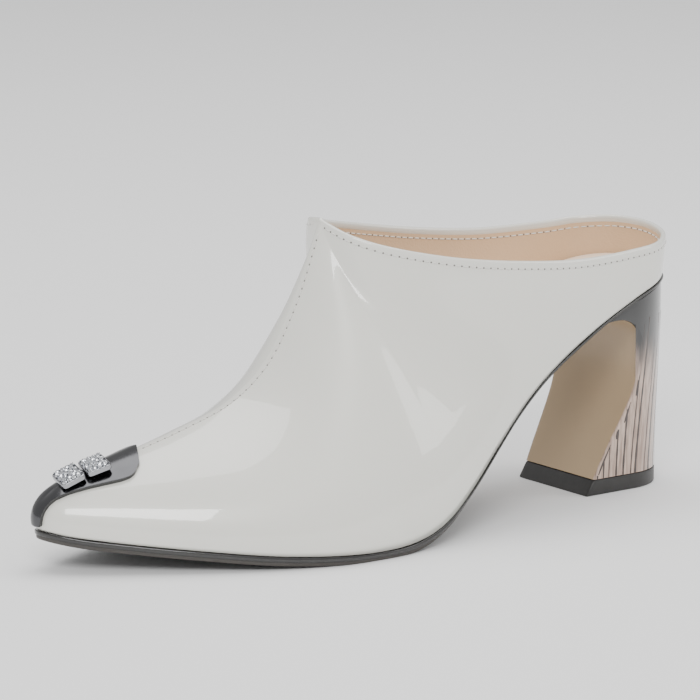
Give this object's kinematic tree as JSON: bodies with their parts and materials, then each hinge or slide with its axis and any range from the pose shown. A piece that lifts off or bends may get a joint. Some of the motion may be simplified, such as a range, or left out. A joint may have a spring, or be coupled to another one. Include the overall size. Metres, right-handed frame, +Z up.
{
  "type": "block-heel mule shoe",
  "caption": "Left pointed-toe mule in patent leather: low band round the heel, metal toe plate with two stone blocks, high tapering block heel with a scooped front.",
  "frame": {"origin": "middle of the plan, on the floor", "axes": "+Z up, toe towards -X, heel towards +X, lateral side towards -Y"},
  "size_m": [0.2412, 0.081, 0.1013],
  "materials": {
    "upper_patent": "white patent, high gloss",
    "sock_leather": "smooth beige, matt",
    "sole_rubber": "black, satin edge",
    "heel_plastic": "gloss black and striped beige sides, satin beige front",
    "lift_rubber": "black, satin",
    "plate_metal": "dark polished metal",
    "stone_setting": "polished setting for small clear stones"
  },
  "bodies": {
    "root": {"upper": "upper_patent", "insole": "sock_leather", "outsole": "sole_rubber", "heel_block": "heel_plastic", "top_piece": "lift_rubber", "toe_plate": "plate_metal", "stone_block_front": "stone_setting", "stone_block_rear": "stone_setting"}
  },
  "joints": []
}
